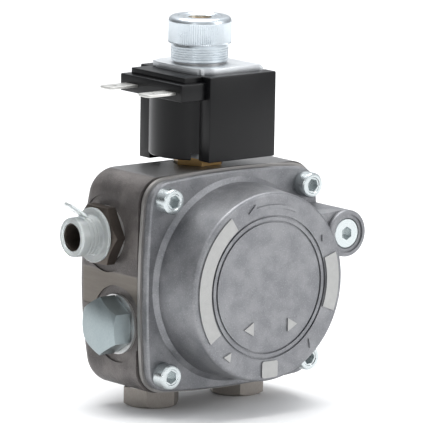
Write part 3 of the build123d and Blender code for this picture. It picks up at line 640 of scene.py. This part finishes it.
def add_coil_yoke():
    """Bent steel strap: upper plate with two round corners, right leg and lower plate."""
    yoke = block("coil_yoke_finished", (-10.8, -14.5, 68.0), (14.1, 14.5, 70.0))
    round_some(yoke, 7.0, 12, lambda p, d: abs(d.z) > 0.9 and p.x < -10)
    strap = block("strap", (-9.5, -12.8, 39.9), (17.5, 12.8, 69.98))
    cut(strap, block("window", (-30, -20, 41.9), (15.5, 20, 68.02)))
    round_some(strap, 3.4, 8, lambda p, d: abs(d.y) > 0.9 and p.x > 17)
    round_some(strap, 1.4, 6, lambda p, d: abs(d.y) > 0.9 and 15 < p.x < 16 and 41 < p.z < 69)
    cut(yoke, strap, "UNION")
    cut(yoke, turned("bore", STEM_HOLE, 96))
    round_edges(yoke, 0.18, 2, 50)
    place(yoke, (0, STEM_Y, 0))
    hand_over(finish_mesh(yoke, radians(28)), "coil_yoke")


def add_outlet_fitting():
    """Outlet union: dark hexagon, nipple and a cone seat in its mouth."""
    middle = centre("outlet_fitting")
    fitting = hex_head("outlet_fitting_finished", FITTING_FLATS, 4.2)
    cut(fitting, turned("nipple", [(5.4, -10.3), (6.0, -9.7), (6.0, 12.4), (5.3, 13.1)], 96), "UNION")
    bore = [(2.0, -12.0), (2.0, 1.2), (3.05, 1.2), (3.05, 7.2), (4.35, 13.1), (4.6, 14.2)]
    cut(fitting, turned("bore", bore, 72))
    place(fitting, (OUTLET_SEAT_X, middle.y, middle.z), LEFT, BACK)
    hand_over(finish_mesh(fitting), "outlet_fitting")


def add_outlet_cap():
    """Soft sleeve over the nipple: flange, shallow rings, a lip round the mouth and a leaf tab."""
    middle = centre("outlet_fitting")
    flange = [(6.05, 0), (8.9, 0), (9.15, 0.25), (9.15, 0.95), (8.9, 1.2)]
    flange += [(7.1, 1.2), (6.75, 1.45), (6.65, 1.9)]
    rings = []
    for step in range(3):
        h = 2.9 + 1.5 * step
        rings += [(6.65, h), (6.52, h + 0.2), (6.52, h + 0.5), (6.65, h + 0.7)]
    mouth = [(6.65, 8.9), (6.5, 9.4), (6.1, 9.7), (4.95, 9.7)]
    mouth += [(4.7, 9.5), (4.7, 9.1), (4.9, 8.9), (6.05, 8.9)]
    cap = turned("outlet_cap_finished", flange + rings + mouth, 96, ring=True)
    place(cap, (CAP_SEAT_X, middle.y, middle.z), LEFT, UP)
    tab = prism("tab", 24, 2.0, 0, 0.8)
    pick(tab)
    tab.scale = (5.1, 2.9, 1.0)
    tab.location = (5.1, 0, 0)
    bpy.ops.object.transform_apply(location=True, scale=True)
    round_edges(tab, 0.2, 3, 60)
    lean = radians(34)
    place(tab, (-45.5, middle.y, middle.z + 5.75), (sin(lean), 0, cos(lean)), (-cos(lean), 0, sin(lean)))
    room = turned("room", [(6.35, -1), (6.35, 8.6)], 96)
    place(room, (CAP_SEAT_X, middle.y, middle.z), LEFT, UP)
    cut(tab, room)
    cut(cap, tab, "UNION")
    hand_over(finish_mesh(cap), "outlet_cap")


def add_terminal_blades():
    """Two flat tabs with cropped tips and a latch hole each."""
    low, high = extent("terminal_blades")
    blades = []
    for side in (-1, 1):
        blade = block("blade", (low.x, -3.15, low.z), (high.x, 3.15, high.z))
        round_some(blade, 1.5, 2, lambda p, d: abs(d.z) > 0.9 and p.x < low.x + 1)
        hole = turned("hole", [(0.85, low.z - 1), (0.85, high.z + 1)], 32)
        hole.location.x = low.x + 4.2
        cut(blade, hole)
        round_edges(blade, 0.08, 2, 50)
        blades.append(place(blade, (0, STEM_Y + side * BLADE_OFFSET, 0)))
    hand_over(finish_mesh(join("terminal_blades_finished", blades)), "terminal_blades")


def add_adjuster_screw():
    """Pressure screw in the ear: seal groove, broken rim and a hexagon socket."""
    middle = centre("adjuster_screw")
    profile = [(5.0, 0), (5.15, 0.15), (5.15, 0.6), (4.5, 0.6)]
    profile += [(4.5, 1.7), (5.15, 1.7), (5.15, 4.0), (4.75, 4.4)]
    screw = turned("adjuster_screw_finished", profile, 96)
    cut(screw, prism("socket", 6, SOCKET_FLATS, 2.0, 6.0))
    place(screw, (middle.x, EAR_FACE_Y, middle.z), FRONT, UP)
    hand_over(finish_mesh(screw), "adjuster_screw")


add_outlet_cap()
add_terminal_blades()
add_adjuster_screw()
add_coil_housing()
add_coil_yoke()
add_outlet_fitting()
add_knurled_nut()
add_cover_screws()
add_gauge_plug()
add_port_plug("suction_plug", 43)
add_port_plug("return_plug", 59)


# ---- floor, light and camera --------------------------------------------
def add_floor():
    """Wide pale floor under the plugs."""
    deselect_all()
    bpy.ops.mesh.primitive_plane_add(size=12, location=(0, 0, cad_low[2]))
    floor = bpy.context.object
    floor.name = "floor"
    f = Finish("pale_floor")
    f.drive("Base Color", f.mix(f.noise(400.0, 2.0), (0.90, 0.90, 0.90), (0.92, 0.92, 0.92)))
    f.drive("Roughness", 0.75 + 0.1 * f.noise(300.0, 2.0))
    floor.data.materials.append(f.material)


def add_area_light(name, place_at, aim_at, width, height, watts, colour=(1, 1, 1)):
    light = bpy.data.lights.new(name, "AREA")
    light.shape = "RECTANGLE"
    light.size = width
    light.size_y = height
    light.energy = watts
    light.color = colour
    lamp = bpy.data.objects.new(name, light)
    bpy.context.scene.collection.objects.link(lamp)
    lamp.location = place_at
    lamp.rotation_euler = (Vector(aim_at) - Vector(place_at)).to_track_quat("-Z", "Y").to_euler()


class Surroundings(Finish):
    """The studio round the piece: its shader is the world's background, its point the view direction."""

    def __init__(self):
        world = bpy.data.worlds.new("studio")
        bpy.context.scene.world = world
        world.use_nodes = True
        self.tree = world.node_tree
        self.shader = self.tree.nodes["Background"]
        self.point = self.node("ShaderNodeTexCoord", {}, [], "Generated")


def add_lights():
    """A dim room with a bright ceiling and a bright wall behind, and three soft boxes."""
    aim = (0, -0.02, 0.02)
    add_area_light("top_softbox", (0.05, 0.15, 1.0), aim, 1.0, 0.9, 14)
    add_area_light("left_softbox", (-1.2, -0.75, 0.35), aim, 0.10, 0.9, 1.3)
    add_area_light("front_right_softbox", (0.65, -1.0, 0.5), aim, 0.5, 0.6, 4.4)
    room = Surroundings()
    x, y, z = room.axes()
    right, rear = 0.63, 0.777
    behind = (x * right + y * rear).rise(0.35, 0.95)
    above = z.rise(0.1, 0.8)
    front_right = (x * right - y * rear).rise(0.45, 1.0)
    near = (x * -right - y * rear).rise(0.6, 1.0)
    room.drive("Strength", 0.03 + 0.8 * above + 0.5 * behind + 0.5 * front_right + 0.35 * near)
    room.shader.inputs["Color"].default_value = (0.95, 0.97, 1.0, 1)
    bpy.context.scene.view_settings.view_transform = "Standard"


def add_camera():
    """Long lens, 39 degrees round to the left of the cover and 10 degrees above."""
    aim = Vector((-3.59, -32.2, 21.8)) * MM
    distance = 2.0
    around, above, roll = radians(-39), radians(10), radians(1.0)
    away = Vector((sin(around) * cos(above), -cos(around) * cos(above), sin(above)))
    camera = bpy.data.cameras.new("camera")
    camera.sensor_width = 36
    camera.lens = 513
    camera.clip_end = 50
    holder = bpy.data.objects.new("camera", camera)
    bpy.context.scene.collection.objects.link(holder)
    look = (-away).to_track_quat("-Z", "Y").to_matrix().to_4x4()
    holder.matrix_world = Matrix.Translation(aim + away * distance) @ look @ Matrix.Rotation(roll, 4, "Z")
    bpy.context.scene.camera = holder


add_floor()
add_lights()
add_camera()
